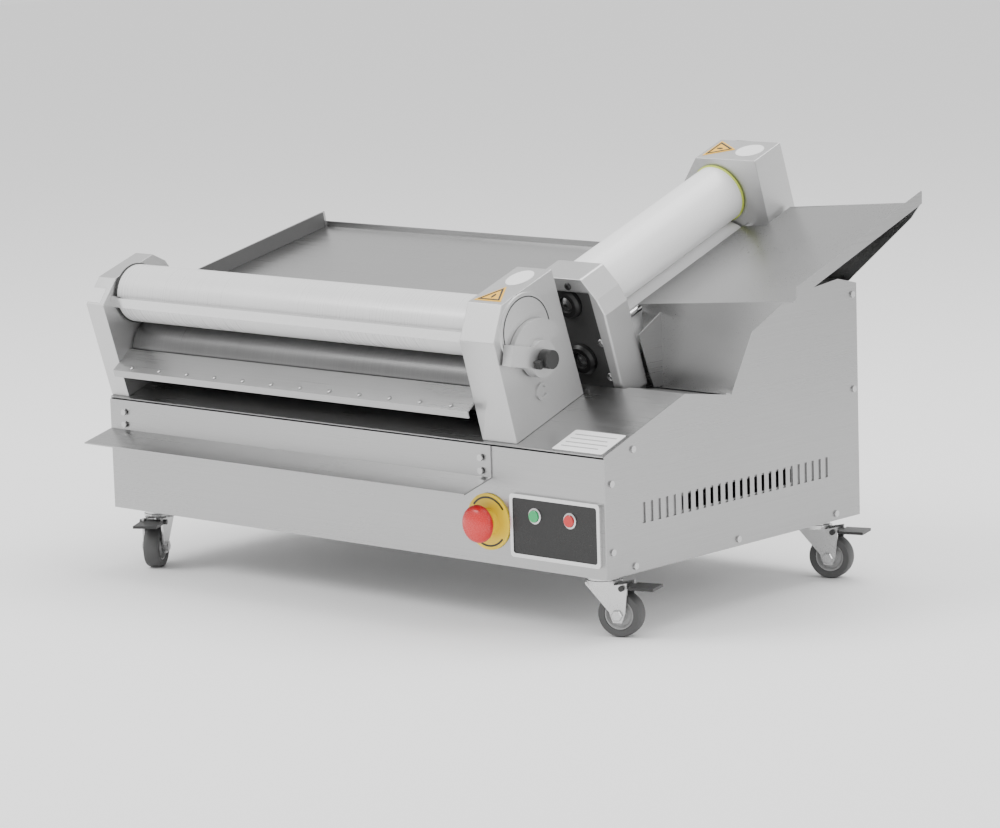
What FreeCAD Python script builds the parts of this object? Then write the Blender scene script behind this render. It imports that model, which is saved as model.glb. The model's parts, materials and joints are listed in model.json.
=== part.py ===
import FreeCAD, Part
import math
import os
import re
import Sketcher

# Dough sheeter: a wheeled stainless base, a long roller unit across the front and a short
# roller unit set square to it.  Millimetres, +Z up, -Y is the outfeed front of the machine.

doc = FreeCAD.newDocument("DoughSheeter")
sheet = doc.addObject("Spreadsheet::Sheet", "Sizes")

SIZES = (
    # body
    ("body_width", 740), ("body_depth", 428), ("front_face", 128.25), ("sheet_metal", 1.5),
    ("deck_angle", 19.5), ("ridge_y", 132), ("valley_y", 198), ("valley_drop", 10),
    ("cover_front", 312), ("cover_high_y", 395), ("cover_high", 332), ("cover_rear", 324),
    # casters
    ("wheel_radius", 24), ("wheel_width", 18), ("caster_height", 67.5), ("caster_inset", 36),
    ("caster_trail", 20), ("caster_angle", 18), ("plate_side", 50), ("pedal_length", 40),
    # roller units
    ("roller_radius", 32.5), ("nip_gap", 1), ("nip_travel", 3), ("shaft_radius", 10),
    ("roller_y", 60.5), ("lower_axis", 38), ("running_gap", 0.05), ("wall", 8),
    ("drive_thick", 48), ("idle_thick_long", 28), ("idle_thick_short", 40),
    ("long_span", 543), ("short_span", 247), ("long_centre_x", -70.5),
    ("short_roller_x", 225.5), ("short_centre_y", 304.5), ("short_sink", 17),
    ("housing_top", 145), ("idle_top_long", 133), ("idle_top_short", 141),
    ("lever_y", 61), ("lever_up", 72), ("lever_reach", 50), ("lever_rest", 150), ("gear_teeth", 33),
    ("gear_width", 10), ("guide_up", 39), ("guide_rise", 10.5), ("pulley_radius", 16),
    ("belt_width", 8), ("belt_drop", 98),
    # trays
    ("tray_angle", 12), ("tray_front_y", 72), ("tray_front_up", 291.05), ("tray_rear_y", 360),
    ("tray_lip", 18), ("tray_foot", 16), ("left_rise_y", 116),
    ("infeed_front_y", 193), ("infeed_rear_y", 418), ("infeed_left_x", 257),
    ("infeed_right_x", 467), ("infeed_rise", 4.6), ("infeed_up", 54), ("infeed_lip", 12),
    ("flap_reach", 44), ("flap_drop", 11),
    # controls
    ("panel_x", 304.5), ("panel_up", 113), ("panel_length", 118), ("panel_tall", 62),
    ("button_radius", 6.2), ("button_spread", 48.2), ("estop_x", 210.3), ("estop_up", 112.4),
    ("estop_plate_radius", 30), ("estop_head_radius", 20), ("slot_tall", 22), ("slot_wide", 5),
    ("slot_pitch", 12.3), ("slot_first_y", 61.7), ("slot_up", 128.5), ("gland_radius", 8),
    # origin of the finished part, set from the assembled box
    ("origin_x", 0), ("origin_y", 0),
)
for row, (alias, number) in enumerate(SIZES, start=1):
    sheet.set(f"A{row}", alias)
    sheet.set(f"B{row}", str(number))
    sheet.setAlias(f"B{row}", alias)
doc.recompute()
ALIAS = re.compile(r"\b(" + "|".join(alias for alias, _ in SIZES) + r")\b")

pieces = {}


def size(text):
    """Number that a size expression stands for."""
    return float(sheet.evalExpression(str(text)))


def bind(item, prop, text):
    """Bind a property to an expression of the sheet's sizes."""
    item.setExpression(prop, ALIAS.sub(r"Sizes.\g<0>", str(text)))


def box(name, extent, corner):
    """Box from its three sizes and its lowest corner."""
    item = doc.addObject("Part::Box", name)
    for prop, text in zip(("Length", "Width", "Height"), extent):
        bind(item, prop, text)
    for prop, text in zip(("x", "y", "z"), corner):
        bind(item, "Placement.Base." + prop, text)
    return item


def rod(name, radius, length, start, axis="x"):
    """Cylinder that grows from start along an axis."""
    item = doc.addObject("Part::Cylinder", name)
    turns = {"x": ((0, 1, 0), 90), "y": ((1, 0, 0), -90), "z": ((0, 0, 1), 0)}
    direction, angle = turns[axis]
    item.Placement.Rotation = FreeCAD.Rotation(FreeCAD.Vector(*direction), angle)
    bind(item, "Radius", radius)
    bind(item, "Height", length)
    for prop, text in zip(("x", "y", "z"), start):
        bind(item, "Placement.Base." + prop, text)
    return item


def outline_sketch(body, name, plane, points):
    """Closed outline whose corners are each held by two sizes."""
    sketch = body.newObject("Sketcher::SketchObject", name)
    origin = [f for f in body.Origin.OriginFeatures if f.Role == plane][0]
    sketch.AttachmentSupport = [(origin, "")]
    sketch.MapMode = "FlatFace"
    corners = [FreeCAD.Vector(size(a), size(b), 0) for a, b in points]
    for start, end in zip(corners, corners[1:] + corners[:1]):
        sketch.addGeometry(Part.LineSegment(start, end), False)
    count = len(corners)
    for side in range(count):
        sketch.addConstraint(Sketcher.Constraint("Coincident", side, 2, (side + 1) % count, 1))
    for side, (across, up) in enumerate(points):
        for kind, text in (("DistanceX", across), ("DistanceY", up)):
            place = sketch.addConstraint(Sketcher.Constraint(kind, -1, 1, side, 1, size(text)))
            bind(sketch, f"Constraints[{place}]", text)
    return sketch


def prism(name, plane, points, length, start="0", extra=None):
    """Body padded from an outline; start is its place along the plane's normal."""
    body = doc.addObject("PartDesign::Body", name)
    sketch = outline_sketch(body, name + "_outline", plane, points)
    pad = body.newObject("PartDesign::Pad", name + "_pad")
    pad.Profile = sketch
    bind(pad, "Length", length)
    bind(sketch, "AttachmentOffset.Base.z", start)
    if extra:
        extra(body, name)
    return body


def join(name, *shapes):
    """Fuse shapes into one."""
    item = doc.addObject("Part::MultiFuse", name)
    item.Shapes = list(shapes)
    return item


def cut(name, base, *tools):
    """Cut tools out of a base."""
    item = doc.addObject("Part::Cut", name)
    item.Base = base
    item.Tool = tools[0] if len(tools) == 1 else join(name + "_tools", *tools)
    return item


def group(name, *shapes):
    """Separate solids that share one node."""
    item = doc.addObject("Part::Compound", name)
    item.Links = list(shapes)
    return item


def fixed_shape(name, shape):
    """A shape that neither a body nor a primitive gives."""
    item = doc.addObject("Part::Feature", name)
    item.Shape = shape
    return item


def framed(item, frame):
    """A primitive keeps its own bound place, so a compound carries it into a frame."""
    holder = group(item.Name + "_placed", item)
    holder.Placement = frame
    return holder


def node(label, item, frame=FreeCAD.Placement()):
    """Name a finished piece and put it in its frame."""
    if item.TypeId in ("Part::Box", "Part::Cylinder"):
        item = framed(item, FreeCAD.Placement())
    item.Label = label
    item.Placement = frame.multiply(item.Placement)
    pieces[label] = item


def folded(name, points, left, right, thick):
    """Sheet bent along a line of (y, z) corners, its thickness below and behind the line."""
    corners = [FreeCAD.Vector(0, size(a), size(b)) for a, b in points]
    inner = []
    for place, corner in enumerate(corners):
        before = corner - corners[place - 1] if place else corners[1] - corner
        after = corners[place + 1] - corner if place + 1 < len(corners) else before
        before.normalize()
        after.normalize()
        normal = FreeCAD.Vector(0, before.z + after.z, -before.y - after.y)
        normal.normalize()
        reach = size(thick) / (normal.y * before.z - normal.z * before.y)
        inner.append(corner + normal * reach)
    ring = Part.makePolygon(corners + inner[::-1] + corners[:1])
    shape = Part.Face(ring).extrude(FreeCAD.Vector(size(right) - size(left), 0, 0))
    shape.translate(FreeCAD.Vector(size(left), 0, 0))
    return fixed_shape(name, shape)


# ---------------------------------------------------------------- frames
floor_z = size("caster_height")
front_top = size("caster_height + front_face")
tilt = FreeCAD.Placement(
    FreeCAD.Vector(0, 0, front_top), FreeCAD.Rotation(FreeCAD.Vector(1, 0, 0), size("deck_angle")))
long_frame = tilt.multiply(FreeCAD.Placement(
    FreeCAD.Vector(size("long_centre_x"), 0, 0), FreeCAD.Rotation()))
short_frame = tilt.multiply(FreeCAD.Placement(
    FreeCAD.Vector(size("short_roller_x - roller_y"), size("short_centre_y"), -size("short_sink")),
    FreeCAD.Rotation(FreeCAD.Vector(0, 0, 1), -90)))

half = "body_width / 2"
inside = "body_width / 2 - sheet_metal"
top = "caster_height + front_face"
ridge_up = "caster_height + front_face + ridge_y * tan(deck_angle * 1 deg)"
valley_up = ridge_up + " - valley_drop"

# ---------------------------------------------------------------- chassis: floor and rear wall
floor = box("floor", ("body_width - 2 * sheet_metal", "body_depth - 2 * sheet_metal", "sheet_metal"),
            ("sheet_metal - " + half, "sheet_metal", "caster_height"))
rear_wall = box("rear_wall", ("body_width - 2 * sheet_metal", "sheet_metal",
                              "cover_rear - caster_height - 2 * sheet_metal"),
                ("sheet_metal - " + half, "body_depth - sheet_metal", "caster_height"))
rear_cuts = [rod("gland_hole", "gland_radius + 0.2", "20",
                 (half + " - 50", "body_depth - 10", "caster_height + 45"), "y")]
for number in range(14):
    rear_cuts.append(box(f"rear_vent_{number}", ("slot_wide", "20", "slot_tall"),
                         (f"{number} * slot_pitch - 80", "body_depth - 10", "slot_up")))
node("chassis", group("chassis_sheets", floor, cut("rear_wall_cut", rear_wall, *rear_cuts)))

# ---------------------------------------------------------------- front panel
front = box("front_sheet", ("body_width", "sheet_metal", "front_face - 2 * sheet_metal"),
            ("0 - " + half, "0", "caster_height"))
node("front_panel", cut(
    "front_cut", front,
    rod("estop_hole", "11.2", "10", ("estop_x", "-5", "estop_up"), "y"),
    box("panel_hole", ("panel_length - 16", "10", "panel_tall - 16"),
        ("panel_x - panel_length / 2 + 8", "-5", "panel_up - panel_tall / 2 + 8"))))


# ---------------------------------------------------------------- side panels
def louvres(body, name):
    """One upright slot, repeated along the panel."""
    slot = outline_sketch(body, name + "_slot", "YZ_Plane", (
        ("slot_first_y - slot_wide / 2", "slot_up - slot_tall / 2"),
        ("slot_first_y + slot_wide / 2", "slot_up - slot_tall / 2"),
        ("slot_first_y + slot_wide / 2", "slot_up + slot_tall / 2"),
        ("slot_first_y - slot_wide / 2", "slot_up + slot_tall / 2")))
    pocket = body.newObject("PartDesign::Pocket", name + "_pocket")
    pocket.Profile = slot
    pocket.Type = 1
    pocket.Midplane = True
    row = body.newObject("PartDesign::LinearPattern", name + "_row")
    row.Originals = [pocket]
    row.Direction = (slot, ["H_Axis"])
    bind(row, "Length", "slot_pitch * 25")
    row.Occurrences = 26
    body.Tip = row


body_side = (("sheet_metal", "caster_height"), ("sheet_metal", top + " - 2 * sheet_metal"),
             ("sheet_metal", top), ("ridge_y", ridge_up), ("valley_y", valley_up),
             ("valley_y + 2", "cover_front"), ("cover_high_y", "cover_high"),
             ("body_depth", "cover_rear"), ("body_depth", "caster_height"))
node("right_side_panel", prism("right_side", "YZ_Plane", body_side, "sheet_metal", inside,
                               louvres))
tray_under = "tray_front_up - 3"
tray_rise = "tan(tray_angle * 1 deg)"
left_side = (("sheet_metal", "caster_height"), ("sheet_metal", top),
             ("left_rise_y", top + " + left_rise_y * tan(deck_angle * 1 deg)"),
             ("left_rise_y", tray_under + " + ( left_rise_y - tray_front_y ) * " + tray_rise),
             ("tray_rear_y", tray_under + " + ( tray_rear_y - tray_front_y ) * " + tray_rise),
             ("body_depth", "cover_rear"), ("body_depth", "caster_height"))
node("left_side_panel", prism("left_side", "YZ_Plane", left_side, "sheet_metal", "0 - " + half))

# ---------------------------------------------------------------- deck plate
deck = folded("deck_sheet", (("0.2", top), ("ridge_y", ridge_up), ("valley_y - 1", valley_up)),
              "sheet_metal - " + half, inside, "sheet_metal")
deck_cuts = [
    box("belt_slot", ("belt_width + 8", "2 * pulley_radius + 12", "60"),
        ("long_centre_x + long_span / 2 + 18", "roller_y - pulley_radius - 6", "-30")),
    box("foot_slot", ("130", "52", "70"),
        ("short_roller_x - roller_y - 3", "short_centre_y - short_span / 2 - 44", "-60")),
]
node("deck_plate", cut("deck_cut", deck, *[framed(tool, tilt) for tool in deck_cuts]))

# ---------------------------------------------------------------- rear cover
cover_right = folded("cover_right", (("valley_y", valley_up), ("valley_y", "cover_front"),
                                     ("cover_high_y", "cover_high"),
                                     ("body_depth - sheet_metal", "cover_rear")),
                     "short_roller_x - roller_y - 25", inside, "sheet_metal")
cover_left = folded("cover_left", (("tray_rear_y + 3", "cover_high + 4"),
                                   ("body_depth - sheet_metal", "cover_rear")),
                    "sheet_metal - " + half, "158", "sheet_metal")
roller_hole = box("cover_roller_hole", ("137", "short_span + 60", "80"),
                  ("short_roller_x - roller_y - 7.5", "short_centre_y - short_span / 2 - 20",
                   "lower_axis - short_sink - roller_radius - 3"))
cover_hole = box("cover_hole", ("128", "80", "70"),
                 ("short_roller_x - roller_y + 1", "short_centre_y + short_span / 2 - 2", "-60"))
node("rear_cover", cut("cover_cut", join("cover_sheet", cover_right, cover_left),
                       framed(cover_hole, tilt), framed(roller_hole, tilt)))

# ---------------------------------------------------------------- frame that carries the short unit
near_bar = box("near_bar", ("110", "36", "14"),
               ("short_roller_x - 55", "short_centre_y - short_span / 2 - 38",
                "0 - short_sink - 14"))
belt_gap = box("near_bar_gap", ("2 * pulley_radius + 16", "belt_width + 8", "40"),
               ("short_roller_x - pulley_radius - 8", "short_centre_y - short_span / 2 - 26",
                "0 - short_sink - 30"))
near_block = cut("near_block", near_bar, belt_gap)
far_block = box("far_block", ("110", "9", "20"),
                ("short_roller_x - 55", "short_centre_y + short_span / 2 + 0.5",
                 "0 - short_sink - 20"))
post_floor = "caster_height + sheet_metal"
near_posts = [box(f"near_post_{side}", ("14", "10", "155"),
                  (f"short_roller_x + {side} * 48 - 7", "150", post_floor)) for side in (-1, 1)]
far_posts = [box(f"far_post_{side}", ("14", "8", "250"),
                 (f"short_roller_x + {side} * 48 - 7", "417", post_floor)) for side in (-1, 1)]
blocks = [framed(block, tilt) for block in (near_block, far_block)]
node("unit_frame", join("unit_frame_weld", *blocks, *near_posts, *far_posts))

# ---------------------------------------------------------------- slide tray between the units
rise = "( tray_rear_y - tray_front_y ) * " + tray_rise
tray_right = "long_centre_x + long_span / 2 - 37"
tray_main = folded("tray_main", (
    ("tray_front_y + tray_foot",
     top + " + ( tray_front_y + tray_foot ) * tan(deck_angle * 1 deg) + 1"),
    ("tray_front_y", "tray_front_up"), ("tray_rear_y", "tray_front_up + " + rise)),
    "long_centre_x - long_span / 2 + 2", tray_right, "sheet_metal")
strip_y = "104"
tray_strip = folded("tray_strip", (
    (strip_y, "tray_front_up + ( 104 - tray_front_y ) * " + tray_rise),
    ("tray_rear_y", "tray_front_up + " + rise)), "0 - " + half,
    "long_centre_x - long_span / 2 + 12", "sheet_metal")
lip_start = "tray_front_up + ( 104 - tray_front_y ) * " + tray_rise
tray_side = prism("tray_side", "YZ_Plane", (
    (strip_y, lip_start), ("tray_rear_y", "tray_front_up + " + rise),
    ("tray_rear_y - 4", "tray_front_up + tray_lip + " + rise),
    (strip_y, lip_start + " + tray_lip")), "sheet_metal", "0 - " + half)
tray_back = box("tray_back", (tray_right + " + body_width / 2", "sheet_metal", "7"),
                ("0 - " + half, "tray_rear_y - sheet_metal", "tray_front_up - 1 + " + rise))
node("slide_tray", join("tray_sheet", tray_main, tray_strip, tray_side, tray_back))

# ---------------------------------------------------------------- infeed tray over the right side
start_y = size("infeed_front_y")
slope = math.tan(math.radians(size("deck_angle")))
level = size("infeed_up") / math.cos(math.radians(size("deck_angle")))
across = math.tan(math.radians(size("infeed_rise")))


def infeed_top(x, y):
    """Height of the infeed tray's face."""
    return front_top + y * slope + level + (x - size("infeed_left_x")) * across


left_x = size("infeed_left_x")
right_x = size("infeed_right_x")
rear_y = size("infeed_rear_y")
thick = size("sheet_metal")
notch_x = size("short_roller_x - roller_y") + 121 + 3
notch_y = size("(short_centre_y + short_span / 2) * cos(deck_angle * 1 deg)") - 30


def plate(points, thickness):
    """Flat sheet from its corners and the way its thickness goes."""
    ring = [FreeCAD.Vector(*p) for p in points]
    return Part.Face(Part.makePolygon(ring + ring[:1])).extrude(FreeCAD.Vector(*thickness))


face = [(left_x, start_y), (right_x, start_y), (right_x, rear_y), (notch_x, rear_y),
        (notch_x, notch_y), (left_x, notch_y)]
floor_sheet = plate([(x, y, infeed_top(x, y)) for x, y in face], (0, 0, -thick))
lip_up = size("infeed_lip")
lip_sheet = plate([(right_x, start_y + 6, infeed_top(right_x, start_y + 6) - thick),
                   (right_x, rear_y, infeed_top(right_x, rear_y) - thick),
                   (right_x, rear_y, infeed_top(right_x, rear_y) + lip_up),
                   (right_x, start_y + 6, infeed_top(right_x, start_y + 6) + lip_up)],
                  (-thick, 0, 0))
apron_foot = size(valley_up) + 1
side_x = size(half)
apron = plate([(left_x + 6, start_y, infeed_top(left_x + 6, start_y) - 0.2),
               (right_x - 12, start_y, infeed_top(right_x - 12, start_y) - 0.2),
               (side_x + 42, start_y, apron_foot + 70), (side_x + 12, start_y, apron_foot),
               (left_x + 30, start_y, apron_foot), (left_x + 6, start_y, apron_foot + 20)],
              (0, thick, 0))
cheek_x = left_x + 31
cheek = plate([(cheek_x, start_y - 15, apron_foot + 3), (cheek_x, start_y - 37, apron_foot + 62),
               (cheek_x, start_y + 1, apron_foot + 82), (cheek_x, start_y + 1, apron_foot + 0.5)],
              (thick, 0, 0))
hem = plate([(left_x + 30, start_y, apron_foot), (side_x + 12, start_y, apron_foot),
             (side_x + 12, start_y - 8, apron_foot + 2), (left_x + 30, start_y - 8, apron_foot + 2)],
            (0, 0, thick))
back_foot = size("cover_rear") + 3.2
back = plate([(notch_x, rear_y, infeed_top(notch_x, rear_y) - 0.2),
              (right_x, rear_y, infeed_top(right_x, rear_y) - 0.2),
              (right_x - 14, rear_y, infeed_top(right_x, rear_y) - 18),
              (side_x - 2, rear_y, back_foot), (notch_x, rear_y, back_foot)], (0, -thick, 0))
node("infeed_tray", fixed_shape(
    "infeed_sheet", floor_sheet.fuse([lip_sheet, apron, cheek, hem, back]).removeSplitter()))

# ---------------------------------------------------------------- outfeed flap
flap_top = top + " - 2.5"
flap_bend = top + " - 36"
node("outfeed_flap", folded("flap_sheet", (
    ("0 - sheet_metal", flap_top), ("0 - sheet_metal", flap_bend),
    ("0 - flap_reach", flap_bend + " - flap_drop")), "2 - " + half, "216", "0 - sheet_metal"))

# ---------------------------------------------------------------- controls on the front panel
button_left = "panel_x - button_spread / 2 - 3"
button_right = "panel_x + button_spread / 2 - 3"
button_up = "panel_up + 12.4"
node("control_plate", cut(
    "control_cut",
    box("control_face", ("panel_length", "3", "panel_tall"),
        ("panel_x - panel_length / 2", "-3", "panel_up - panel_tall / 2")),
    rod("start_hole", "button_radius + 0.3", "10", (button_left, "-6", button_up), "y"),
    rod("stop_hole", "button_radius + 0.3", "10", (button_right, "-6", button_up), "y")))
for label, place in (("start_button", button_left), ("stop_button", button_right)):
    cap = rod(label + "_cap", "button_radius", "5.5", (place, "-6.5", button_up), "y")
    stem = rod(label + "_stem", "3", "9", (place, "-2", button_up), "y")
    node(label, join(label + "_body", cap, stem))
node("estop_plate", cut(
    "estop_base", join("estop_disc", rod("estop_round", "estop_plate_radius", "2",
                                         ("estop_x", "-2", "estop_up"), "y"),
                       rod("estop_collar", "14", "7", ("estop_x", "-9", "estop_up"), "y"),
                       rod("estop_barrel", "11", "22", ("estop_x", "-1", "estop_up"), "y")),
    rod("estop_bore", "6 + running_gap", "50", ("estop_x", "-20", "estop_up"), "y")))
node("estop_stem", rod("estop_pin", "6", "36", ("estop_x", "-21", "estop_up"), "y"))
node("estop_head", cut(
    "estop_cap", join("estop_mushroom",
                      rod("estop_disc_wide", "estop_head_radius", "8",
                          ("estop_x", "-22", "estop_up"), "y"),
                      rod("estop_disc_low", "estop_head_radius - 4", "10",
                          ("estop_x", "-27", "estop_up"), "y")),
    rod("estop_socket", "6 + running_gap", "12", ("estop_x", "-21 - running_gap", "estop_up"), "y")))

# ---------------------------------------------------------------- mains cable gland
gland_x = half + " - 50"
gland_up = "caster_height + 45"
node("cable_gland", cut(
    "gland_cut", join("gland_body",
                      rod("gland_thread", "gland_radius", "12",
                          (gland_x, "body_depth - 11", gland_up), "y"),
                      rod("gland_dome", "gland_radius + 3", "10",
                          (gland_x, "body_depth", gland_up), "y"),
                      rod("gland_nut", "gland_radius + 3", "4",
                          (gland_x, "body_depth - sheet_metal - 4", gland_up), "y")),
    rod("gland_bore", "4", "40", (gland_x, "body_depth - 20", gland_up), "y")))


# ---------------------------------------------------------------- roller units
def gear_shape(phase):
    """Spur wheel about the x axis with trapezoid teeth."""
    teeth = round(size("gear_teeth"))
    module = size("2 * roller_radius + nip_gap") / teeth
    pitch = module * teeth / 2
    tooth = math.pi * module / (2 * pitch)
    ring = []
    for number in range(teeth):
        middle = 2 * math.pi * number / teeth + phase
        for radius, angle in ((pitch - 1.3 * module, -0.64), (pitch + 0.9 * module, -0.22),
                              (pitch + 0.9 * module, 0.22), (pitch - 1.3 * module, 0.64)):
            turn = middle + angle * tooth
            ring.append(FreeCAD.Vector(0, radius * math.cos(turn), radius * math.sin(turn)))
    outline = Part.makePolygon(ring + ring[:1])
    return Part.Face(outline).extrude(FreeCAD.Vector(size("gear_width"), 0, 0))


upper_axis = "lower_axis + 2 * roller_radius + nip_gap"


def roller_unit(name, span, idle_thick, idle_top, lever_side, frame):
    """Two rollers between a drive housing and an idle housing, with their guides."""
    end = span + " / 2"
    first = {1: "( " + end + " )", -1: "( 0 - " + end + " - drive_thick )"}
    idle_first = {1: "( 0 - " + end + " - " + idle_thick + " )", -1: "( " + end + " )"}
    far = lever_side
    drive_x = first[far]
    idle_x = idle_first[far]
    drive_wall = drive_x if far == 1 else drive_x + " + drive_thick - wall"
    idle_wall = idle_x + " + " + idle_thick + " - wall" if far == 1 else idle_x
    block_tall = "30"

    def slot(tag, wall_x):
        """Shaft bore and carriage slot through one wall."""
        return [rod(f"{name}_bore_{tag}", "shaft_radius + running_gap", "wall + 4",
                    (wall_x + " - 2", "roller_y", "lower_axis")),
                box(f"{name}_slot_{tag}", ("wall + 4", "36.2", block_tall + " + nip_travel + 1"),
                    (wall_x + " - 2", "roller_y - 18.1", upper_axis + " - 15.5"))]

    # drive housing: a casting, hollow behind its outer wall, open below for the belt
    drive_outline = (("4", "0"), ("118", "0"), ("121", "housing_top"), ("38", "housing_top"),
                     ("11", "113"))
    casting = prism(name + "_casting", "YZ_Plane", drive_outline, "drive_thick", drive_x)
    hollow_x = drive_x + (" + wall" if far == 1 else " + 5")
    hollow_outline = (("10", "-1"), ("112", "-1"), ("115", "housing_top - 2.6"),
                      ("40", "housing_top - 2.6"), ("17", "111"))
    hollow = prism(name + "_hollow", "YZ_Plane", hollow_outline, "drive_thick - wall - 5", hollow_x)
    outer_x = drive_x + " + drive_thick" if far == 1 else drive_x
    ring_x = outer_x if far == 1 else outer_x + " - 1.5"
    boss = rod(name + "_ring_boss", "40", "1.5", (ring_x, "roller_y", upper_axis))
    lever_hole_x = outer_x + " - 8" if far == 1 else outer_x + " - 4"
    lever_hole = rod(name + "_lever_hole", "7 + running_gap", "14",
                     (lever_hole_x, "lever_y", "lever_up"))
    node(name + "_drive_housing", cut(
        name + "_drive_cut", join(name + "_drive_cast", casting, boss), hollow, lever_hole,
        *slot("drive", drive_wall)), frame)

    # idle housing: an open casting round the wall that carries the shafts
    idle_outline = (("4", "0"), ("118", "0"), ("121", "100"), ("115", "118"), ("100", idle_top),
                    ("38", idle_top), ("9", "113"))
    shell = prism(name + "_idle_shell", "YZ_Plane", idle_outline, idle_thick, idle_x)
    pocket_x = idle_x + " - 1" if far == 1 else idle_x + " + wall"
    pocket = box(name + "_idle_pocket", (idle_thick + " - wall + 1", "95", "126"),
                 (pocket_x, "12", "-1"))
    node(name + "_idle_housing", cut(name + "_idle_cut", shell, pocket,
                                     *slot("idle", idle_wall)), frame)

    # carriages: a sliding bearing block in each wall
    blocks = []
    for tag, wall_x in (("drive", drive_wall), ("idle", idle_wall)):
        blocks.append(cut(
            f"{name}_carriage_{tag}",
            box(f"{name}_block_{tag}", ("wall", "36", block_tall),
                (wall_x, "roller_y - 18", upper_axis + " - 15")),
            rod(f"{name}_block_bore_{tag}", "shaft_radius + running_gap", "wall + 4",
                (wall_x + " - 2", "roller_y", upper_axis))))
    node(name + "_carriages", group(name + "_carriage_pair", *blocks), frame)

    # rollers and their shafts; a gear pair sits in the drive housing
    for row, axis_up, phase in (("lower", "lower_axis", math.pi / 2),
                                ("upper", upper_axis, -math.pi / 2 + math.pi / size("gear_teeth"))):
        barrel = rod(f"{name}_{row}_barrel", "roller_radius", span + " - 4",
                     ("2 - " + end, "roller_y", axis_up))
        core = rod(f"{name}_{row}_core", "shaft_radius + 0.01", span + " + 4",
                   ("-2 - " + end, "roller_y", axis_up))
        node(f"{name}_{row}_roller", cut(f"{name}_{row}_tube", barrel, core), frame)
        idle_reach = "wall + 3"
        reach = "wall + gear_width + 4" if row == "upper" else "wall + gear_width + 18"
        left = idle_reach if far == 1 else reach
        right = reach if far == 1 else idle_reach
        if row == "lower" and far == -1:
            left = "wall + gear_width + 4"
            right = "wall + 16"
        spindle = rod(f"{name}_{row}_spindle", "shaft_radius", f"{span} + {left} + {right}",
                      (f"0 - {end} - ( {left} )", "roller_y", axis_up))
        gear = fixed_shape(f"{name}_{row}_gear", gear_shape(phase))
        gear_x = end + " + wall + 1.5" if far == 1 else "0 - " + end + " - wall - 1.5 - gear_width"
        gear.Placement.Base = FreeCAD.Vector(size(gear_x), size("roller_y"), size(axis_up))
        parts = [spindle, gear]
        if row == "lower":
            pulley_x = end + (" + wall + gear_width + 5" if far == 1 else " + wall + 5")
            parts.append(rod(f"{name}_pulley", "pulley_radius", "belt_width + 2",
                             (pulley_x, "roller_y", axis_up)))
        node(f"{name}_{row}_shaft", join(f"{name}_{row}_shaft_body", *parts), frame)

    # belt down to the gearmotor, through the open foot of the housing
    belt_x = pulley_x + " + 1"
    motor_up = "lower_axis - belt_drop"
    hoops = []
    for tag, radius, extra in (("outside", "pulley_radius + 2.5", "0"),
                               ("inside", "pulley_radius + running_gap", "2")):
        wide = "belt_width + " + extra
        start = belt_x + f" - {extra} / 2"
        hoops.append(join(
            f"{name}_belt_{tag}",
            rod(f"{name}_belt_{tag}_up", radius, wide, (start, "roller_y", "lower_axis")),
            rod(f"{name}_belt_{tag}_down", radius, wide, (start, "roller_y", motor_up)),
            box(f"{name}_belt_{tag}_run", (wide, f"2 * ( {radius} )", "belt_drop"),
                (start, f"roller_y - ( {radius} )", motor_up))))
    belts.append(framed(cut(name + "_belt_loop", *hoops), frame))
    node(name + "_motor_pulley", join(
        name + "_motor_pulley_body",
        rod(name + "_motor_wheel", "pulley_radius", "belt_width + 2",
            (pulley_x, "roller_y", motor_up)),
        rod(name + "_motor_shaft", "6", "14", (pulley_x + " - 14", "roller_y", motor_up))), frame)
    gearmotors.append(framed(cut(
        name + "_gearmotor_cut",
        join(name + "_gearmotor_body",
             box(name + "_gearbox", ("40", "52", "62"),
                 (pulley_x + " - 42", "roller_y - 26", motor_up + " - 36")),
             rod(name + "_motor_can", "25", "110", (pulley_x + " - 150", "roller_y",
                                                    motor_up + " - 5"))),
        rod(name + "_gearbox_bore", "6 + running_gap", "16",
            (pulley_x + " - 15", "roller_y", motor_up))), frame))

    # scraper bar at the front of the upper roller, guide below it, guard rod behind
    scraper_bars.append(framed(box(name + "_scraper", (span, "4", "12"),
                                   ("0 - " + end, "roller_y - roller_radius - 6.5",
                                    upper_axis + " + 1")), frame))
    guide = prism(name + "_guide", "YZ_Plane", (
        ("-6", "guide_up"), ("roller_y - roller_radius - 1.5", "guide_up + guide_rise"),
        ("roller_y - roller_radius - 1.5", "guide_up + guide_rise - 2"),
        ("-5", "guide_up - 1.7"), ("-5", "guide_up - 8"), ("-6.5", "guide_up - 8")), span, "0 - " + end)
    guide_plates.append(framed(guide, frame))
    guard_rods.append(framed(rod(name + "_guard", "4", span,
                                 ("0 - " + end, "roller_y + roller_radius - 3",
                                  "lower_axis + roller_radius - 5.3")), frame))

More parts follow.
